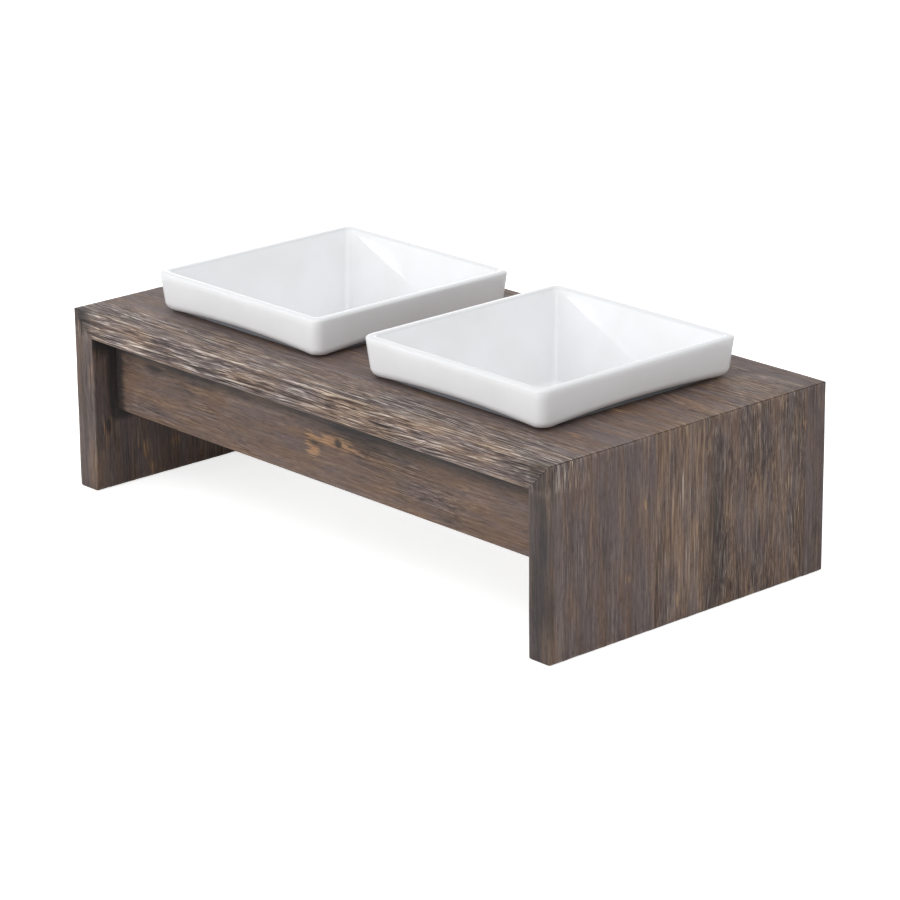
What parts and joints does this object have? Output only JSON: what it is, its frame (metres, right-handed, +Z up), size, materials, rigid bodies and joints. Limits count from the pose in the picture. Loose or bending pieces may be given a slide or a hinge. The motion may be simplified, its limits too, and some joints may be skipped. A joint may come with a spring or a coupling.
{
  "type": "double pet feeder",
  "caption": "Low mitred hardwood bench with square openings in its top that hold lift-out white porcelain bowls, for feeding a dog or a cat.",
  "frame": {"origin": "on the floor, under the centre of the bench", "axes": "+X along the bench from its left leg to its right leg, +Y from its front rail to its rear rail, +Z up"},
  "size_m": [0.56, 0.292, 0.1865],
  "materials": {
    "stained_hardwood": "brushed open-pored hardwood, dark brown stain, satin oil",
    "beech_dowel": "plain machined beech",
    "white_porcelain": "glossy clear glaze on white porcelain"
  },
  "bodies": {
    "bench": {"top_stave_1": "stained_hardwood", "top_stave_2": "stained_hardwood", "top_stave_3_left": "stained_hardwood", "top_stave_3_middle": "stained_hardwood", "top_stave_3_right": "stained_hardwood", "top_stave_4": "stained_hardwood", "top_stave_5": "stained_hardwood", "left_leg_stave_1": "stained_hardwood", "left_leg_stave_2": "stained_hardwood", "left_leg_stave_3": "stained_hardwood", "left_leg_stave_4": "stained_hardwood", "left_leg_stave_5": "stained_hardwood", "right_leg_stave_1": "stained_hardwood", "right_leg_stave_2": "stained_hardwood", "right_leg_stave_3": "stained_hardwood", "right_leg_stave_4": "stained_hardwood", "right_leg_stave_5": "stained_hardwood", "front_rail": "stained_hardwood", "rear_rail": "stained_hardwood", "mitre_dowel_left_1": "beech_dowel", "mitre_dowel_left_2": "beech_dowel", "mitre_dowel_left_3": "beech_dowel", "mitre_dowel_left_4": "beech_dowel", "mitre_dowel_left_5": "beech_dowel", "mitre_dowel_right_1": "beech_dowel", "mitre_dowel_right_2": "beech_dowel", "mitre_dowel_right_3": "beech_dowel", "mitre_dowel_right_4": "beech_dowel", "mitre_dowel_right_5": "beech_dowel", "front_rail_dowel_left_lower": "beech_dowel", "front_rail_dowel_left_upper": "beech_dowel", "front_rail_dowel_right_lower": "beech_dowel", "front_rail_dowel_right_upper": "beech_dowel", "rear_rail_dowel_left_lower": "beech_dowel", "rear_rail_dowel_left_upper": "beech_dowel", "rear_rail_dowel_right_lower": "beech_dowel", "rear_rail_dowel_right_upper": "beech_dowel"},
    "left_bowl": {"bowl_left": "white_porcelain"},
    "right_bowl": {"bowl_right": "white_porcelain"}
  },
  "joints": [
    {"name": "bowl_left_lift", "type": "slide", "parent": "bench", "child": "left_bowl", "axis": [0, 0, 1], "range_m": [0, 0.06]},
    {"name": "bowl_right_lift", "type": "slide", "parent": "bench", "child": "right_bowl", "axis": [0, 0, 1], "range_m": [0, 0.06]}
  ]
}
